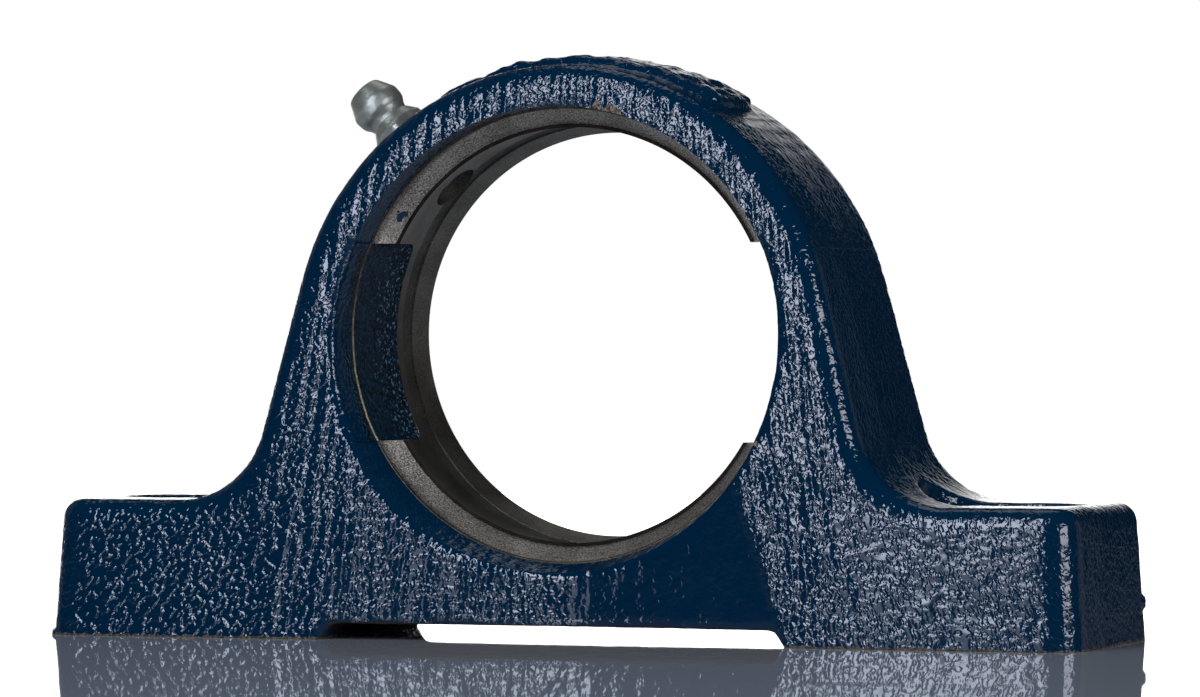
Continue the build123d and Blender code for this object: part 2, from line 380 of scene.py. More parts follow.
# where each zone ends along the bore, its colour, roughness, and grit. The first zone's pale colour is the
# bare front edge's own, brightened as a painted highlight, and the third zone's dark colour is painted shade
# in the step
zones = [(front_edge_y + 0.10, "#A39786", 0.40, 0.4), (seat_front - 0.05, "#E4DCD0", 0.42, 1.0),
         (seat_front + 0.02, "#3A342E", 0.70, 0.4), (groove_front, "#918E87", 0.46, 0.30),
         (groove_back, "#77746E", 0.60, 0.5), (seat_back, "#96928A", 0.50, 0.45),
         (zone_reach, "#9A9083", 0.68, 0.9)]
tint = add_node(tree, "ShaderNodeValToRGB", links={"Fac": along.outputs[0]})
finish = add_node(tree, "ShaderNodeValToRGB", links={"Fac": along.outputs[0]})
for ramp, channel in ((tint, 0), (finish, 1)):
    ramp.color_ramp.interpolation = "CONSTANT"
    start = 0
    for number, (end, code, rough, grit) in enumerate(zones):
        stops = ramp.color_ramp.elements
        stop = stops[number] if number < 2 else stops.new(start)
        stop.position = start
        stop.color = linear(code) if channel == 0 else (rough, grit, 0, 1)
        start = (end + zone_reach) / (2 * zone_reach)
levels = add_node(tree, "ShaderNodeSeparateColor", links={"Color": finish.outputs["Color"]})
grit_pitch, grit_depth, grit_glint = 0.20, 0.16, 0.62
grain = add_node(tree, "ShaderNodeTexNoise", sockets={"Scale": 1 / (grit_pitch * mm), "Detail": 1.0},
                 links={"Vector": place.outputs["Object"]})
bump = add_node(tree, "ShaderNodeBump", sockets={"Distance": grit_depth * mm},
                links={"Height": grain.outputs["Fac"], "Strength": levels.outputs["Green"]})
# painted glints: the grains are coloured brighter or darker at random, standing in for their uneven shine,
# and the surface is stained here and there
glint = add_node(tree, "ShaderNodeMapRange", sockets={
    "From Min": 0.32, "From Max": 0.68, "To Min": -grit_glint, "To Max": grit_glint}, links={
    "Value": grain.outputs["Fac"]})
uneven = add_node(tree, "ShaderNodeMath", {"operation": "MULTIPLY_ADD"}, {2: 1.0}, {
    0: glint.outputs[0], 1: levels.outputs["Green"]})
stains_per_metre = 220.0
stain = add_node(tree, "ShaderNodeTexNoise", sockets={"Scale": stains_per_metre, "Detail": 4.0},
                 links={"Vector": place.outputs["Object"]})
worn = add_node(tree, "ShaderNodeMapRange", sockets={
    "From Min": 0.35, "From Max": 0.7, "To Min": 0.72, "To Max": 1.1}, links={"Value": stain.outputs["Fac"]})
level = add_node(tree, "ShaderNodeMath", {"operation": "MULTIPLY"}, links={
    0: uneven.outputs[0], 1: worn.outputs[0]})
# painted shadow: on the -X side the cone's outer part is darkened, standing in for the shadow that the
# mouth's lip casts there
shadow_widest, shadow_narrowest, shadow_level = 1.5, 0.02, 0.3
shadow_width = add_node(tree, "ShaderNodeMapRange", {"interpolation_type": "SMOOTHSTEP"}, {
    "From Min": -24 * mm, "From Max": -5 * mm,
    "To Min": shadow_widest * mm, "To Max": shadow_narrowest * mm}, {
    "Value": parts.outputs["X"]})
past_edge = add_node(tree, "ShaderNodeMath", {"operation": "ADD"}, {1: -(front_edge_y + 0.1) * mm}, {
    0: parts.outputs["Y"]})
shadowed = add_node(tree, "ShaderNodeMapRange", {"interpolation_type": "SMOOTHSTEP"}, {
    "To Min": shadow_level, "To Max": 1.0}, {
    "Value": past_edge.outputs[0], "From Max": shadow_width.outputs[0]})
level = add_node(tree, "ShaderNodeMath", {"operation": "MULTIPLY"}, links={
    0: level.outputs[0], 1: shadowed.outputs[0]})
shade = add_node(tree, "ShaderNodeVectorMath", {"operation": "SCALE"}, links={
    0: tint.outputs["Color"], "Scale": level.outputs[0]})
# one drop of paint ran onto the cone beside the upper left slot
drop_place, drop_radius = (-21.5, -8.7, 50.7), 1.5
wobble_pitch, wobble_reach = 0.7, 1.6
drop = add_node(tree, "ShaderNodeVectorMath", {"operation": "DISTANCE"}, {1: [c * mm for c in drop_place]}, {
    0: place.outputs["Object"]})
edge_wobble = add_node(tree, "ShaderNodeTexNoise", sockets={
    "Scale": 1 / (wobble_pitch * mm), "Detail": 1.0}, links={"Vector": place.outputs["Object"]})
wobbly = add_node(tree, "ShaderNodeMath", {"operation": "MULTIPLY_ADD"}, {1: wobble_reach * mm}, {
    0: edge_wobble.outputs["Fac"], 2: drop.outputs["Value"]})
painted = add_node(tree, "ShaderNodeMath", {"operation": "LESS_THAN"}, {1: drop_radius * mm}, {
    0: wobbly.outputs[0]})
metal = add_node(tree, "ShaderNodeMath", {"operation": "SUBTRACT"}, {0: 1.0}, {1: painted.outputs[0]})
surface = add_node(tree, "ShaderNodeMix", {"data_type": "RGBA"}, {7: linear("#0A2A44")}, {
    0: painted.outputs[0], 6: shade.outputs[0]})
finish_material(tree, add_node(tree, "ShaderNodeBsdfPrincipled", links={
    "Base Color": surface.outputs[2], "Metallic": metal.outputs[0],
    "Roughness": levels.outputs["Red"], "Normal": bump.outputs[0]}))
turned_bore.data.materials.append(iron)
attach(turned_bore, "block")


# Housing: grey cast iron from a sand mould, dipped in dark blue gloss enamel. Its skin keeps the
# sand's bumps, drawn out upwards on the arch, where the pattern was lifted. The base stays bare.

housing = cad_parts["housing"]
casting = housing.copy()
casting.data = housing.data.copy()
casting.parent = None
casting.name = "casting"
for key in list(casting.keys()):
    del casting[key]
bpy.context.scene.collection.objects.link(casting)
make_active(casting)
start_editing()
bpy.ops.mesh.remove_doubles(threshold=touching)
stop_editing()

# the feet reach a little below the table while the skin is roughened, and are cut flat after it
base_spare = 1.2
select_in_mesh(casting, "FACE", lambda mesh, face:
               abs(face.center.z) < touching and face.normal.z < -0.9)
bpy.ops.mesh.extrude_region_move(TRANSFORM_OT_translate={"value": (0, 0, -base_spare * mm)})
stop_editing()

# over the slots the wall of the bore's front mouth is first thickened, to be cut to its oval flare
draft = math.radians(3.2)
mouth_reach = 18.5  # further out than the front and back faces
front_face_y = -16.99
wall_inside, wall_outside, wall_back_y = 26.8, 29.4, front_edge_y - 0.3
mouth_wall = draw_profile("mouth_wall", [(r * mm, y * mm, bore_centre.z) for r, y in (
    (wall_inside, -mouth_reach), (wall_outside, -mouth_reach), (wall_outside, wall_back_y),
    (wall_inside, wall_back_y), (wall_inside, -mouth_reach))])
spin_round(mouth_wall, bore_centre, (0, 1, 0), bore_sides)
trim(mouth_wall, (0, 0, (slot_high + 0.5) * mm), (0, 0, 1))
trim(mouth_wall, (0, front_face_y * mm, 0), (0, math.cos(draft), -math.sin(draft)))
make_active(casting)
mouth_wall.select_set(True)
bpy.ops.object.join()

voxel = 0.54
apply_modifier(casting, "even_mesh", "REMESH", {"mode": "VOXEL", "voxel_size": voxel * mm})
apply_modifier(casting, "soft_edges", "SMOOTH", {"factor": 0.5, "iterations": 2})

# bumps that the sand left, a little taller than wide, and larger on the blank pad of the crown
crown_centre = Vector((0, 0, 34.8 * mm))
pad_low, pad_half_depth, pad_radius = 60, 7.2, 34.4
pad = casting.vertex_groups.new(name="pad")
pad.add([v.index for v in casting.data.vertices
         if v.co.z > pad_low * mm and abs(v.co.y) < pad_half_depth * mm
         and math.hypot(v.co.x, v.co.z - crown_centre.z) > pad_radius * mm], 1.0, "REPLACE")
deselect_all()
bpy.ops.object.empty_add(location=(0, 0, 0))
lift = bpy.context.object
lift.scale = (1, 1, 1.3)
bpy.context.view_layer.update()
for name, size, height, group in (
        ("sand_lumps", 3.2, 0.06, ""), ("sand_grains", 1.5, 0.06, ""), ("pad_lumps", 2.6, 0.9, "pad")):
    sand = bpy.data.textures.new(name, "CLOUDS")
    sand.noise_scale = size * mm
    sand.noise_depth = 1
    apply_modifier(casting, name, "DISPLACE", {
        "texture": sand, "texture_coords": "OBJECT", "texture_coords_object": lift,
        "strength": height * mm, "mid_level": 0.5, "vertex_group": group})

# a lip of flash at the left foot's lower edge, and a nub of it at the right foot's far corner
lip_start_x, lip_height, lip_reach = -64.2, 0.75, 0.4
nub_place, nub_radius, nub_reach = Vector((64.6, 13.3, 4.6)), 0.6, 0.45
select_in_mesh(casting, "VERT", lambda mesh, v: v.co.x < lip_start_x * mm and v.co.z < lip_height * mm)
bpy.ops.transform.translate(value=(-lip_reach * mm, 0, 0))
stop_editing()
select_in_mesh(casting, "VERT", lambda mesh, v: (v.co - nub_place * mm).length < nub_radius * mm)
bpy.ops.transform.translate(value=(nub_reach * mm, 0.1 * mm, 0))
stop_editing()

# the lathe, the mouths' flares and the base cutter leave crisp edges in the rough skin
mouth_radius, lathe_radius = 27.26, 27.65
flare = math.tan(math.radians(13))
mouth_height = 0.943  # of the upper half of the front mouth, as a share of its half width
lathe_room = draw_profile("lathe_room", [(r * mm, y * mm, bore_centre.z) for r, y in (
    (0, -mouth_reach), (mouth_radius + (mouth_reach + front_edge_y) * flare, -mouth_reach),
    (mouth_radius, front_edge_y), (lathe_radius, front_edge_y), (lathe_radius, back_edge_y),
    (mouth_radius, back_edge_y),
    (mouth_radius + (mouth_reach - back_edge_y) * flare, mouth_reach), (0, mouth_reach))])
spin_round(lathe_room, bore_centre, (0, 1, 0), bore_sides)
select_in_mesh(lathe_room, "VERT", lambda mesh, v:
               v.co.y < (0.1 - mouth_reach) * mm and v.co.z > bore_centre.z + 0.01 * mm)
bpy.ops.transform.resize(value=(1, 1, mouth_height), center_override=bore_centre)
stop_editing()
combine(lathe_room, slot_window, "DIFFERENCE")
combine(casting, lathe_room, "DIFFERENCE")
combine(casting, grease_hole, "DIFFERENCE")
trim(casting, (0, 0, 0), (0, 0, 1))
bpy.ops.object.shade_smooth_by_angle(angle=math.radians(48))
for helper in (slot_window, grease_hole, lathe_room, lift):
    bpy.data.objects.remove(helper)

# gloss enamel: deep and sharp, so the rough skin under it breaks every light into specks
enamel, tree = new_material("dark_blue_gloss_enamel")
place = add_node(tree, "ShaderNodeTexCoord")
parts = add_node(tree, "ShaderNodeSeparateXYZ", links={"Vector": place.outputs["Object"]})
# pimples: finer upwards and towards +X by these shares a metre, and more crowded towards +X
finer_up, finer_right = 5.0, 1.2
fine_up = add_node(tree, "ShaderNodeMath", {"operation": "MULTIPLY_ADD"}, {1: finer_up, 2: 1.0}, {
    0: parts.outputs["Z"]})
fineness = add_node(tree, "ShaderNodeMath", {"operation": "MULTIPLY_ADD"}, {1: finer_right}, {
    0: parts.outputs["X"], 2: fine_up.outputs[0]})
drawn = add_node(tree, "ShaderNodeVectorMath", {"operation": "SCALE"}, links={
    0: place.outputs["Object"], "Scale": fineness.outputs[0]})
pimple_pitch = 0.74
pimples = add_node(tree, "ShaderNodeTexNoise", sockets={
    "Scale": 1 / (pimple_pitch * mm), "Detail": 1.0, "Roughness": 0.4}, links={"Vector": drawn.outputs[0]})
# the noise level at which pimples start to rise, its change a metre, and how soon they are full
pimple_start, start_change, pimple_rise = 0.36, -1.2, 0.3
lowest = add_node(tree, "ShaderNodeMath", {"operation": "MULTIPLY_ADD"}, {1: start_change, 2: pimple_start}, {
    0: parts.outputs["X"]})
highest = add_node(tree, "ShaderNodeMath", {"operation": "ADD"}, {1: pimple_rise}, {0: lowest.outputs[0]})
raised = add_node(tree, "ShaderNodeMapRange", {"interpolation_type": "SMOOTHSTEP"}, links={
    "Value": pimples.outputs["Fac"], "From Min": lowest.outputs[0], "From Max": highest.outputs[0]})
left_height, right_height, foot_x = 0.052, 0.038, 60
rise = add_node(tree, "ShaderNodeMapRange", sockets={
    "From Min": -foot_x * mm, "From Max": foot_x * mm,
    "To Min": left_height * mm, "To Max": right_height * mm}, links={"Value": parts.outputs["X"]})
pimple_height = add_node(tree, "ShaderNodeMath", {"operation": "MULTIPLY"}, links={
    0: raised.outputs[0], 1: rise.outputs[0]})
# slow waves under the pimples
wave_pitch, wave_height = 1.3, 0.036
waves = add_node(tree, "ShaderNodeTexNoise", sockets={
    "Scale": 1 / (wave_pitch * mm), "Detail": 0.0}, links={"Vector": drawn.outputs[0]})
skin = add_node(tree, "ShaderNodeMath", {"operation": "MULTIPLY_ADD"}, {1: wave_height * mm}, {
    0: waves.outputs["Fac"], 2: pimple_height.outputs[0]})
# upright ribs on the arch and its legs, where the sand was dragged as the pattern came out
rib_pitch, rib_height, rib_shortness = 1.3, 0.19, 0.12
arch_inside, arch_outside = 33, 41
lengthwise = add_node(tree, "ShaderNodeVectorMath", {"operation": "MULTIPLY"}, {1: (1, 0, rib_shortness)}, {
    0: drawn.outputs[0]})
ribs = add_node(tree, "ShaderNodeTexNoise", sockets={
    "Scale": 1 / (rib_pitch * mm), "Detail": 0.0}, links={"Vector": lengthwise.outputs[0]})
from_middle = add_node(tree, "ShaderNodeMath", {"operation": "ABSOLUTE"}, links={0: parts.outputs["X"]})
on_arch = add_node(tree, "ShaderNodeMapRange", {"interpolation_type": "SMOOTHSTEP"}, {
    "From Min": arch_outside * mm, "From Max": arch_inside * mm, "To Max": rib_height * mm}, {
    "Value": from_middle.outputs[0]})
raised_ribs = add_node(tree, "ShaderNodeMath", {"operation": "MULTIPLY"}, links={
    0: ribs.outputs["Fac"], 1: on_arch.outputs[0]})
ribbed = add_node(tree, "ShaderNodeMath", {"operation": "ADD"}, links={
    0: skin.outputs[0], 1: raised_ribs.outputs[0]})
ribbed = add_node(tree, "ShaderNodeMath", {"operation": "DIVIDE"}, links={
    0: ribbed.outputs[0], 1: fineness.outputs[0]})
# the hollow of the web drew out of the mould smoothly on its +X side. Its rim runs where x * x /
# hollow_width + z * hollow_lean is hollow_rise, in metres
hollow_width, hollow_lean, hollow_rise = 0.54, 0.0332, 1.63 * mm
smoothing = 0.8
hollow_x = add_node(tree, "ShaderNodeMath", {"operation": "MULTIPLY"}, links={
    0: parts.outputs["X"], 1: parts.outputs["X"]})
hollow_rim = add_node(tree, "ShaderNodeMath", {"operation": "MULTIPLY_ADD"}, {
    1: hollow_lean, 2: -hollow_rise}, {0: parts.outputs["Z"]})
hollow_depth = add_node(tree, "ShaderNodeMath", {"operation": "MULTIPLY_ADD"}, {1: 1 / hollow_width}, {
    0: hollow_x.outputs[0], 2: hollow_rim.outputs[0]})
in_hollow = add_node(tree, "ShaderNodeMapRange", {"interpolation_type": "SMOOTHSTEP"}, {
    "From Min": 0.02 * mm, "From Max": -0.10 * mm}, {"Value": hollow_depth.outputs[0]})
on_right = add_node(tree, "ShaderNodeMapRange", {"interpolation_type": "SMOOTHSTEP"}, {
    "From Min": -6 * mm, "From Max": 4 * mm, "To Max": -smoothing}, {"Value": parts.outputs["X"]})
roughened = add_node(tree, "ShaderNodeMath", {"operation": "MULTIPLY_ADD"}, {2: 1.0}, {
    0: in_hollow.outputs[0], 1: on_right.outputs[0]})
rough_skin = add_node(tree, "ShaderNodeMath", {"operation": "MULTIPLY"}, links={
    0: ribbed.outputs[0], 1: roughened.outputs[0]})
# one upright step in the right leg, where two parts of the pattern met
step_start, step_end, step_lean, step_height = 31.3, 32.3, 0.018, 0.06
leaning = add_node(tree, "ShaderNodeMath", {"operation": "MULTIPLY_ADD"}, {1: step_lean}, {
    0: parts.outputs["Z"], 2: parts.outputs["X"]})
step = add_node(tree, "ShaderNodeMapRange", {"interpolation_type": "SMOOTHSTEP"}, {
    "From Min": step_start * mm, "From Max": step_end * mm, "To Max": step_height * mm}, {
    "Value": leaning.outputs[0]})
stepped = add_node(tree, "ShaderNodeMath", {"operation": "ADD"}, links={
    0: rough_skin.outputs[0], 1: step.outputs[0]})
# a soft crease low along the foot on the +X side
crease_middle, crease_half_length = 38, 6.2
crease_low, crease_high, crease_depth = 3.8, 4.3, 0.05
over_crease = add_node(tree, "ShaderNodeMath", {"operation": "COMPARE"}, {
    1: crease_middle * mm, 2: crease_half_length * mm}, {0: parts.outputs["X"]})
crease = add_node(tree, "ShaderNodeMapRange", {"interpolation_type": "SMOOTHSTEP"}, {
    "From Min": crease_low * mm, "From Max": crease_high * mm, "To Max": crease_depth * mm}, {
    "Value": parts.outputs["Z"]})
stepped = add_node(tree, "ShaderNodeMath", {"operation": "MULTIPLY_ADD"}, links={
    0: crease.outputs[0], 1: over_crease.outputs[0], 2: stepped.outputs[0]})
# the mould's parting line: from it, the sides lean in a little to the front and to the back
parting_y, side_lean = -3.4, 0.026
beyond = add_node(tree, "ShaderNodeMath", {"operation": "ADD"}, {1: -parting_y * mm}, {0: parts.outputs["Y"]})
either_way = add_node(tree, "ShaderNodeMath", {"operation": "ABSOLUTE"}, links={0: beyond.outputs[0]})
parted = add_node(tree, "ShaderNodeMath", {"operation": "MULTIPLY_ADD"}, {1: -side_lean}, {
    0: either_way.outputs[0], 2: stepped.outputs[0]})
bump = add_node(tree, "ShaderNodeBump", sockets={"Distance": 1.0}, links={"Height": parted.outputs[0]})
# rust creeps up from the bare base, and shows where the edge of the mouth is chipped
rust_pitch, rust_grain_pitch = 0.9, 0.3
creep_reach, creep_start = 0.9, 0.25
edge_noise = add_node(tree, "ShaderNodeTexNoise", sockets={
    "Scale": 1 / (rust_pitch * mm), "Detail": 3.0}, links={"Vector": place.outputs["Object"]})
creep = add_node(tree, "ShaderNodeMath", {"operation": "MULTIPLY_ADD"}, {
    1: -creep_reach * mm, 2: creep_start * mm}, {0: edge_noise.outputs["Fac"]})
rust_top = add_node(tree, "ShaderNodeMath", {"operation": "ADD"}, links={
    0: creep.outputs[0], 1: parts.outputs["Z"]})
chips = (((5.2, -13.5, 63.3), 0.7), ((6.5, -13.6, 63.0), 0.9), ((7.9, -13.6, 62.6), 0.5),
         ((-22.8, -14.2, 50.7), 0.8), ((25.5, -15.7, 23.6), 0.4))  # middles and sizes
chip_raggedness = 3.0
bare = rust_top
for chip, size in chips:
    away = add_node(tree, "ShaderNodeVectorMath", {"operation": "DISTANCE"}, {1: [c * mm for c in chip]}, {
        0: place.outputs["Object"]})
    ragged = add_node(tree, "ShaderNodeMath", {"operation": "MULTIPLY_ADD"}, {1: chip_raggedness * mm}, {
        0: edge_noise.outputs["Fac"], 2: away.outputs["Value"]})
    outside = add_node(tree, "ShaderNodeMath", {"operation": "SUBTRACT"}, {
        1: (size + chip_raggedness / 2) * mm}, {0: ragged.outputs[0]})
    bare = add_node(tree, "ShaderNodeMath", {"operation": "MINIMUM"}, links={
        0: bare.outputs[0], 1: outside.outputs[0]})
rusty = add_node(tree, "ShaderNodeMath", {"operation": "LESS_THAN"}, {1: 0.0}, {0: bare.outputs[0]})
rust_grain = add_node(tree, "ShaderNodeTexNoise", sockets={
    "Scale": 1 / (rust_grain_pitch * mm), "Detail": 2.0}, links={"Vector": place.outputs["Object"]})
# dark along the base, and lighter in the chips
off_base = add_node(tree, "ShaderNodeMapRange", sockets={
    "From Min": 0.3 * mm, "From Max": 1.5 * mm, "To Min": 0.55, "To Max": 1.7}, links={
    "Value": parts.outputs["Z"]})
contrast = add_node(tree, "ShaderNodeMapRange", sockets={
    "From Min": 0.35, "From Max": 0.75, "To Max": 0.55}, links={"Value": rust_grain.outputs["Fac"]})
fine_rust = add_node(tree, "ShaderNodeMath", {"operation": "MULTIPLY"}, links={
    0: contrast.outputs[0], 1: off_base.outputs[0]})
rust_tone = add_node(tree, "ShaderNodeMix", {"data_type": "RGBA"}, {
    6: linear("#15100B"), 7: linear("#B09A7C")}, {0: fine_rust.outputs[0]})
colour = add_node(tree, "ShaderNodeMix", {"data_type": "RGBA"}, {6: linear("#00223A")}, {
    0: rusty.outputs[0], 7: rust_tone.outputs[2]})
# the enamel is a little less sharp towards the +X foot, and rust is dull
left_roughness, right_roughness, rust_dullness = 0.05, 0.10, 0.6
gloss = add_node(tree, "ShaderNodeMapRange", sockets={
    "From Min": 10 * mm, "From Max": foot_x * mm,
    "To Min": left_roughness, "To Max": right_roughness}, links={"Value": parts.outputs["X"]})
dullness = add_node(tree, "ShaderNodeMath", {"operation": "MULTIPLY_ADD"}, {1: rust_dullness}, {
    0: rusty.outputs[0], 2: gloss.outputs[0]})
finish_material(tree, add_node(tree, "ShaderNodeBsdfPrincipled", sockets={"IOR": 1.5}, links={
    "Base Color": colour.outputs[2], "Roughness": dullness.outputs[0], "Normal": bump.outputs[0]}))
casting.data.materials.clear()
casting.data.materials.append(enamel)

# the same paint on the slot floors: thin, dark and sandy, scored bright where the lathe tool passed
sand_pitch, sand_depth, score_half_width = 0.42, 0.6, 0.2
score_highlight_start, score_highlight_full = 42, 28
glints_start_y, glints_full_y = -7.5, -2.5
thin_paint, tree = new_material("sandy_thin_blue_paint")
place = add_node(tree, "ShaderNodeTexCoord")
parts = add_node(tree, "ShaderNodeSeparateXYZ", links={"Vector": place.outputs["Object"]})
sand = add_node(tree, "ShaderNodeTexNoise", sockets={
    "Scale": 1 / (sand_pitch * mm), "Detail": 2.0}, links={"Vector": place.outputs["Object"]})
bump = add_node(tree, "ShaderNodeBump", sockets={"Distance": sand_depth * mm}, links={
    "Height": sand.outputs["Fac"]})
grains = add_node(tree, "ShaderNodeMapRange", sockets={"From Min": 0.38, "From Max": 0.66}, links={
    "Value": sand.outputs["Fac"]})
from_edge = add_node(tree, "ShaderNodeMath", {"operation": "ADD"}, {1: -front_edge_y * mm}, {
    0: parts.outputs["Y"]})
off_edge = add_node(tree, "ShaderNodeMath", {"operation": "ABSOLUTE"}, links={0: from_edge.outputs[0]})
scored = add_node(tree, "ShaderNodeMath", {"operation": "LESS_THAN"}, {1: score_half_width * mm}, {
    0: off_edge.outputs[0]})
# painted glints: bright specks are coloured where the sand noise is high, standing in for the sandy paint's
# glints, more of them towards the seat
inwards = add_node(tree, "ShaderNodeMapRange", sockets={
    "From Min": glints_start_y * mm, "From Max": glints_full_y * mm, "To Min": 0.76, "To Max": 0.62}, links={
    "Value": parts.outputs["Y"]})
glinting = add_node(tree, "ShaderNodeMath", {"operation": "GREATER_THAN"}, links={
    0: sand.outputs["Fac"], 1: inwards.outputs[0]})
# painted shade: the sand's low spots are coloured darker and its high spots lighter, standing in for light
# and shade on its bumps
depth = add_node(tree, "ShaderNodeMix", {"data_type": "RGBA"}, {6: linear("#00080E"), 7: linear("#04304A")}, {
    0: grains.outputs[0]})
sand_shade_and_glints = add_node(tree, "ShaderNodeMix", {"data_type": "RGBA"}, {7: linear("#5F7F96")}, {
    0: glinting.outputs[0], 6: depth.outputs[2]})
# painted highlight: the bare score is coloured brightest low in the slot, where it catches the light
score_highlight = add_node(tree, "ShaderNodeMapRange", sockets={
    "From Min": score_highlight_start * mm, "From Max": score_highlight_full * mm}, links={"Value": parts.outputs["Z"]})
score_and_highlight = add_node(tree, "ShaderNodeMix", {"data_type": "RGBA"}, {6: linear("#5C4A2A"), 7: linear("#CDBB94")}, {
    0: score_highlight.outputs[0]})
colour = add_node(tree, "ShaderNodeMix", {"data_type": "RGBA"}, links={
    0: scored.outputs[0], 6: sand_shade_and_glints.outputs[2], 7: score_and_highlight.outputs[2]})
metallic = add_node(tree, "ShaderNodeMath", {"operation": "MULTIPLY"}, {1: 0.4}, {0: scored.outputs[0]})
finish_material(tree, add_node(tree, "ShaderNodeBsdfPrincipled", sockets={
    "Roughness": 0.2, "IOR": 1.31}, links={
    "Base Color": colour.outputs[2], "Metallic": metallic.outputs[0], "Normal": bump.outputs[0]}))
casting.data.materials.append(thin_paint)
floor_front_y = -12.5


def on_slot_floor(mesh, face):
    """True for the faces of the loading slots, which lie within the slot window and off the flare."""
    x, y, z = face.center
    radius = math.hypot(x, z - bore_centre.z)
    in_window = slot_low * mm < z < slot_high * mm and floor_front_y * mm < y < (slot_end + 0.4) * mm
    return in_window and radius < skin_radius * mm


select_in_mesh(casting, "FACE", on_slot_floor)
casting.active_material_index = 1
bpy.ops.object.material_slot_assign()
stop_editing()

# the base is never painted: dark cast iron with brown rust in its pores
pores_per_metre, pore_depth = 400.0, 0.1
bare_iron, tree = new_material("rusted_bare_iron")
place = add_node(tree, "ShaderNodeTexCoord")
rust = add_node(tree, "ShaderNodeTexNoise", sockets={"Scale": pores_per_metre, "Detail": 5.0},
                links={"Vector": place.outputs["Object"]})
tones = add_node(tree, "ShaderNodeValToRGB", links={"Fac": rust.outputs["Fac"]})
tones.color_ramp.elements[0].position = 0.4
tones.color_ramp.elements[0].color = linear("#2B2622")
tones.color_ramp.elements[1].position = 0.65
tones.color_ramp.elements[1].color = linear("#5A4434")
bump = add_node(tree, "ShaderNodeBump", sockets={"Distance": pore_depth * mm}, links={
    "Height": rust.outputs["Fac"]})
finish_material(tree, add_node(tree, "ShaderNodeBsdfPrincipled", sockets={
    "Roughness": 0.85, "Specular IOR Level": 0.2}, links={
    "Base Color": tones.outputs["Color"], "Normal": bump.outputs[0]}))
casting.data.materials.append(bare_iron)
relief_height = 1.9
make_active(casting)
select_in_mesh(casting, "FACE", lambda mesh, face:
               face.center.z < (relief_height + 0.4) * mm and face.normal.z < -0.7)
casting.active_material_index = 2
bpy.ops.object.material_slot_assign()
stop_editing()
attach(casting, "block")
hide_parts("housing")


# Grease nipple: turned from free-cutting steel with a milled hexagon, then plated with zinc and
# screwed into the crown as far as the hexagon.

spot_face_rise = 32.3  # from the bore's centre
spot_face = nipple_root + nipple_axis * spot_face_rise * mm
nipple_sides = 96


def soften_corners(points, reach, steps=4):
    """The same chain of points, with each inner corner rounded from a short way before it."""
    softened = [points[0]]
    for before, corner, after in zip(points, points[1:], points[2:]):
        before, corner, after = Vector(before), Vector(corner), Vector(after)
        ends = []
        for end in (before, after):
            gap = (end - corner).length
            ends.append(corner + (end - corner) * min(reach / gap, 0.45))
        for i in range(steps + 1):
            t = i / steps
            softened.append(tuple(ends[0] * (1 - t) ** 2 + corner * 2 * t * (1 - t) + ends[1] * t ** 2))
    return softened + [points[-1]]


def nipple_turned(name, profile):
    """Solid turned about the nipple's axis, from radii and heights over the spot face."""
    side = Vector((0, 1, 0))
    piece = draw_profile(name, [spot_face + side * r * mm + nipple_axis * h * mm for r, h in profile])
    spin_round(piece, spot_face, nipple_axis, nipple_sides)
    return piece


# shank, neck, and the head's two cones on the outside, then inlet, bore and rolled lip inside
outside = soften_corners([
    (1.05, -5.0), (2.55, -5.0), (2.95, -4.6), (2.95, 0.0), (2.6, 0.3), (2.55, 5.6), (2.75, 6.1), (3.2, 6.75),
    (3.28, 7.7), (3.28, 8.15), (2.2, 10.4), (0.95, 10.4)], 0.4)
inside = [(0.95, 9.5), (1.5, 8.95), (1.5, -4.4), (1.0, -4.4), (1.05, -5.0)]
nipple = nipple_turned("nipple", outside + inside)

# the hexagon's own mesh, with its corners and shoulder softened by the plating
hexagon_turn = math.radians(41)
across_flats, hexagon_height, hexagon_edge = 7, 5.35, 0.18
deselect_all()
bpy.ops.mesh.primitive_cylinder_add(
    vertices=6, radius=across_flats / math.sqrt(3) * mm, depth=hexagon_height * mm)
hexagon = bpy.context.object
hexagon.name = "nipple_hexagon"
start_editing()
bpy.ops.mesh.bevel(offset=hexagon_edge * mm, segments=3, affect="EDGES")
stop_editing()
away = nipple_axis.normalized()
turn = Matrix((Vector((0, 1, 0)), away.cross(Vector((0, 1, 0))), away)).transposed()
hexagon.matrix_world = Matrix.Translation(spot_face + away * (hexagon_height / 2) * mm) @ (
    turn @ Matrix.Rotation(hexagon_turn, 3, "Z")).to_4x4()
bpy.ops.object.transform_apply(location=True, rotation=True, scale=True)
shoulder = nipple_turned("shoulder", soften_corners([
    (0, -0.1), (3.92, -0.1), (3.92, 3.6), (3.5, 4.0), (2.6, hexagon_height), (0, hexagon_height)], 0.3))
combine(hexagon, shoulder, "INTERSECT")
bore_room = nipple_turned("bore_room", [(0, -1), (2.3, -1), (2.3, 6), (0, 6)])
combine(hexagon, bore_room, "DIFFERENCE")
for helper in (shoulder, bore_room):
    bpy.data.objects.remove(helper)
for piece in (nipple, hexagon):
    make_active(piece)
    bpy.ops.object.shade_smooth_by_angle(angle=math.radians(32))

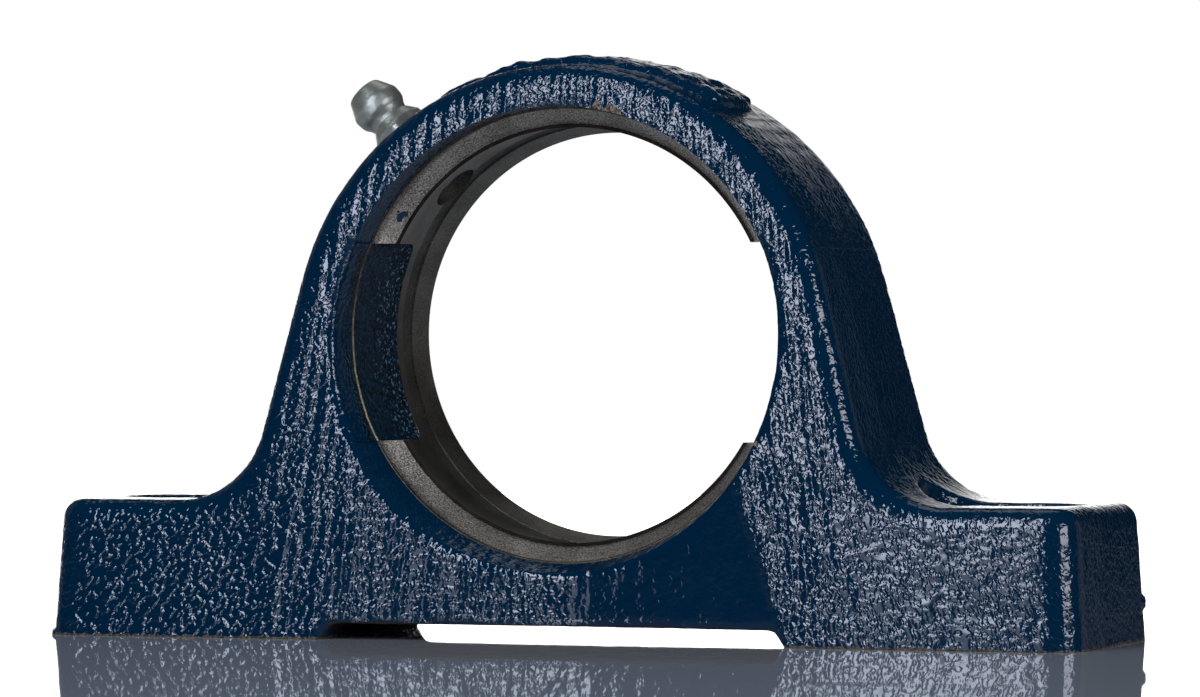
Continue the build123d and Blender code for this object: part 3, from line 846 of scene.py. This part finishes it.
# bright zinc over fine turning rings: silvery and slightly cloudy, with soft highlights
ring_pitch, ring_waviness, dent_pitch, zinc_relief = 0.16, 0.12, 1.1, 0.09
zinc, tree = new_material("bright_zinc_plating")
place = add_node(tree, "ShaderNodeTexCoord")
height_along = add_node(tree, "ShaderNodeVectorMath", {"operation": "DOT_PRODUCT"}, {1: nipple_axis}, {
    0: place.outputs["Object"]})
ring_place = add_node(tree, "ShaderNodeVectorMath", {"operation": "SCALE"}, {"Scale": ring_waviness}, {
    0: place.outputs["Object"]})
ring_sum = add_node(tree, "ShaderNodeVectorMath", {"operation": "ADD"}, links={
    0: ring_place.outputs[0], 1: height_along.outputs["Value"]})
rings = add_node(tree, "ShaderNodeTexNoise", sockets={"Scale": 1 / (ring_pitch * mm), "Detail": 2.0}, links={
    "Vector": ring_sum.outputs[0]})
dents = add_node(tree, "ShaderNodeTexNoise", sockets={"Scale": 1 / (dent_pitch * mm), "Detail": 2.0}, links={
    "Vector": place.outputs["Object"]})
relief = add_node(tree, "ShaderNodeMath", {"operation": "MULTIPLY_ADD"}, {1: 0.5}, {
    0: rings.outputs["Fac"], 2: dents.outputs["Fac"]})
bump = add_node(tree, "ShaderNodeBump", sockets={"Distance": zinc_relief * mm}, links={
    "Height": relief.outputs[0]})
cloud = add_node(tree, "ShaderNodeMix", {"data_type": "RGBA"}, {
    6: linear("#A3A9A0"), 7: linear("#DCE0D6")}, {0: dents.outputs["Fac"]})
haze = add_node(tree, "ShaderNodeMapRange", sockets={"To Min": 0.25, "To Max": 0.50}, links={
    "Value": rings.outputs["Fac"]})
finish_material(tree, add_node(tree, "ShaderNodeBsdfPrincipled", sockets={"Metallic": 0.87}, links={
    "Base Color": cloud.outputs[2], "Roughness": haze.outputs[0], "Normal": bump.outputs[0]}))
for piece in (nipple, hexagon):
    piece.data.materials.append(zinc)
    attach(piece, "block")
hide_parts("nipple_body")


# Check ball: hardened chrome steel, ground and lapped. The spring holds it against the conical seat
# behind the nipple's inlet.

# lapped steel: a near mirror, with a haze too fine to see as lines
lapping_pitch, lapping_depth = 0.08, 0.001
ball_steel, tree = new_material("lapped_chrome_steel")
place = add_node(tree, "ShaderNodeTexCoord")
lapping = add_node(tree, "ShaderNodeTexNoise", sockets={
    "Scale": 1 / (lapping_pitch * mm), "Detail": 3.0}, links={"Vector": place.outputs["Object"]})
bump = add_node(tree, "ShaderNodeBump", sockets={"Distance": lapping_depth * mm}, links={
    "Height": lapping.outputs["Fac"]})
sheen = add_node(tree, "ShaderNodeMapRange", sockets={"To Min": 0.06, "To Max": 0.14}, links={
    "Value": lapping.outputs["Fac"]})
finish_material(tree, add_node(tree, "ShaderNodeBsdfPrincipled", sockets={
    "Base Color": linear("#C4C4C6"), "Metallic": 1.0}, links={
    "Roughness": sheen.outputs[0], "Normal": bump.outputs[0]}))
check_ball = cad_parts["nipple_check_ball"]
check_ball.data.materials.clear()
check_ball.data.materials.append(ball_steel)


# Spring: hard-drawn steel wire, coiled open and pushed in behind the rolled lip of the nipple. It
# bears on the lip at its lower end and on the check ball at its upper end.

wire_radius, coil_radius, coils = 0.16, 1.15, 5
coil_steps = 32
spring_low, spring_high = -4.212, 7.792  # ends of the coiled centre line, from the spot face
deselect_all()
bpy.ops.mesh.primitive_circle_add(vertices=12, radius=wire_radius * mm, fill_type="NOTHING")
spring = bpy.context.object
spring.name = "nipple_spring_wire"
start_editing()
bpy.ops.transform.rotate(value=-math.pi / 2, orient_axis="X", center_override=(0, 0, 0))
bpy.ops.transform.translate(value=(coil_radius * mm, 0, 0))
stop_editing()
apply_modifier(spring, "coiled", "SCREW", {
    "axis": "Z", "angle": 2 * math.pi * coils, "screw_offset": (spring_high - spring_low) * mm,
    "steps": coil_steps * coils, "use_normal_calculate": True})
# both cut ends of the wire are closed
start_editing()
bpy.ops.mesh.select_all(action="DESELECT")
bpy.ops.mesh.select_mode(type="EDGE")
bpy.ops.mesh.select_non_manifold(extend=False, use_wire=False, use_boundary=True)
bpy.ops.mesh.edge_face_add()
bpy.ops.mesh.select_all(action="SELECT")
bpy.ops.mesh.normals_make_consistent(inside=False)
stop_editing()
spring.rotation_euler = nipple_axis.to_track_quat("Z", "Y").to_euler()
spring.location = spot_face + nipple_axis * spring_low * mm
bpy.ops.object.transform_apply(location=True, rotation=True, scale=False)
bpy.ops.object.shade_smooth_by_angle(angle=math.radians(48))

# drawn wire: dark grey and half dull, with fine marks of the die
draw_pitch, draw_depth = 0.1, 0.004
wire, tree = new_material("hard_drawn_spring_wire")
place = add_node(tree, "ShaderNodeTexCoord")
drawing = add_node(tree, "ShaderNodeTexNoise", sockets={
    "Scale": 1 / (draw_pitch * mm), "Detail": 3.0}, links={"Vector": place.outputs["Object"]})
bump = add_node(tree, "ShaderNodeBump", sockets={"Distance": draw_depth * mm}, links={
    "Height": drawing.outputs["Fac"]})
tone = add_node(tree, "ShaderNodeMix", {"data_type": "RGBA"}, {
    6: linear("#5E5A55"), 7: linear("#8F8A83")}, {0: drawing.outputs["Fac"]})
finish_material(tree, add_node(tree, "ShaderNodeBsdfPrincipled", sockets={
    "Metallic": 1.0, "Roughness": 0.36}, links={
    "Base Color": tone.outputs[2], "Normal": bump.outputs[0]}))
spring.data.materials.append(wire)
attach(spring, "block")
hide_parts("nipple_spring")
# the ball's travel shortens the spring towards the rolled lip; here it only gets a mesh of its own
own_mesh(spring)


# Finish: colours are shown as they are written.

bpy.context.scene.view_settings.view_transform = "Standard"
